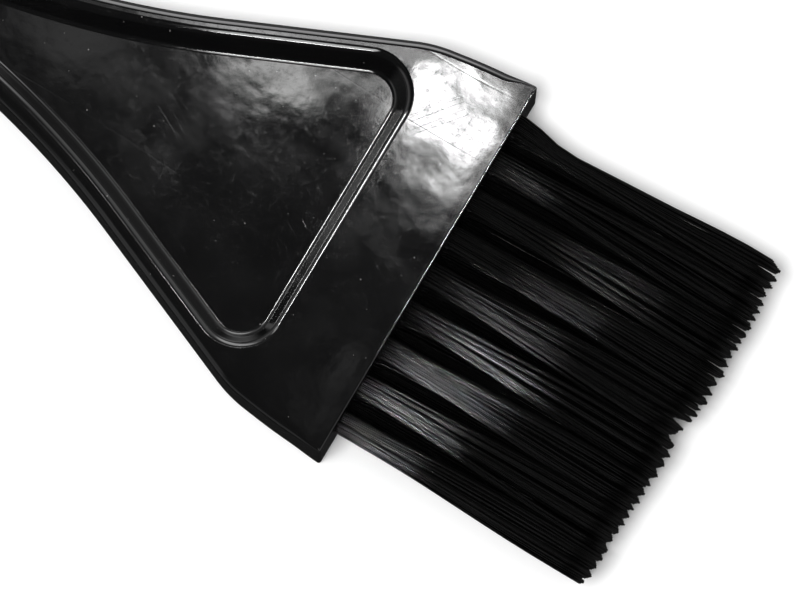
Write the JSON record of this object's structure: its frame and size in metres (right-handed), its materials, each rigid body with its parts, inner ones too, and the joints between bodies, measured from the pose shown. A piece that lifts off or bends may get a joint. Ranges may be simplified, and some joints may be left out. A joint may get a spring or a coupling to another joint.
{
  "type": "bee brush",
  "caption": "Flat black moulded brush with a wide straight collar, sunk triangular panel, tapered grip and rows of stiff folded bristle tufts.",
  "frame": {"origin": "centre of the bounding box seen from above, on the flat back that the brush lies on", "axes": "+X from the tail of the handle to the bristle tips, +Y across the head, +Z out of the upper face"},
  "size_m": [0.217, 0.06, 0.009],
  "materials": {
    "handle_plastic": "glossy black injection-moulded plastic with slight orange peel",
    "bristle_nylon": "satin black nylon filament",
    "anchor_metal": "plain flat staple wire"
  },
  "bodies": {
    "root": {"handle": "handle_plastic", "tuft_front_1": "bristle_nylon", "tuft_front_2": "bristle_nylon", "tuft_front_3": "bristle_nylon", "tuft_front_4": "bristle_nylon", "tuft_front_5": "bristle_nylon", "tuft_front_6": "bristle_nylon", "tuft_front_7": "bristle_nylon", "tuft_front_8": "bristle_nylon", "tuft_front_9": "bristle_nylon", "tuft_back_1": "bristle_nylon", "tuft_back_2": "bristle_nylon", "tuft_back_3": "bristle_nylon", "tuft_back_4": "bristle_nylon", "tuft_back_5": "bristle_nylon", "tuft_back_6": "bristle_nylon", "tuft_back_7": "bristle_nylon", "tuft_back_8": "bristle_nylon", "anchor_front_1": "anchor_metal", "anchor_front_2": "anchor_metal", "anchor_front_3": "anchor_metal", "anchor_front_4": "anchor_metal", "anchor_front_5": "anchor_metal", "anchor_front_6": "anchor_metal", "anchor_front_7": "anchor_metal", "anchor_front_8": "anchor_metal", "anchor_front_9": "anchor_metal", "anchor_back_1": "anchor_metal", "anchor_back_2": "anchor_metal", "anchor_back_3": "anchor_metal", "anchor_back_4": "anchor_metal", "anchor_back_5": "anchor_metal", "anchor_back_6": "anchor_metal", "anchor_back_7": "anchor_metal", "anchor_back_8": "anchor_metal"}
  },
  "joints": []
}
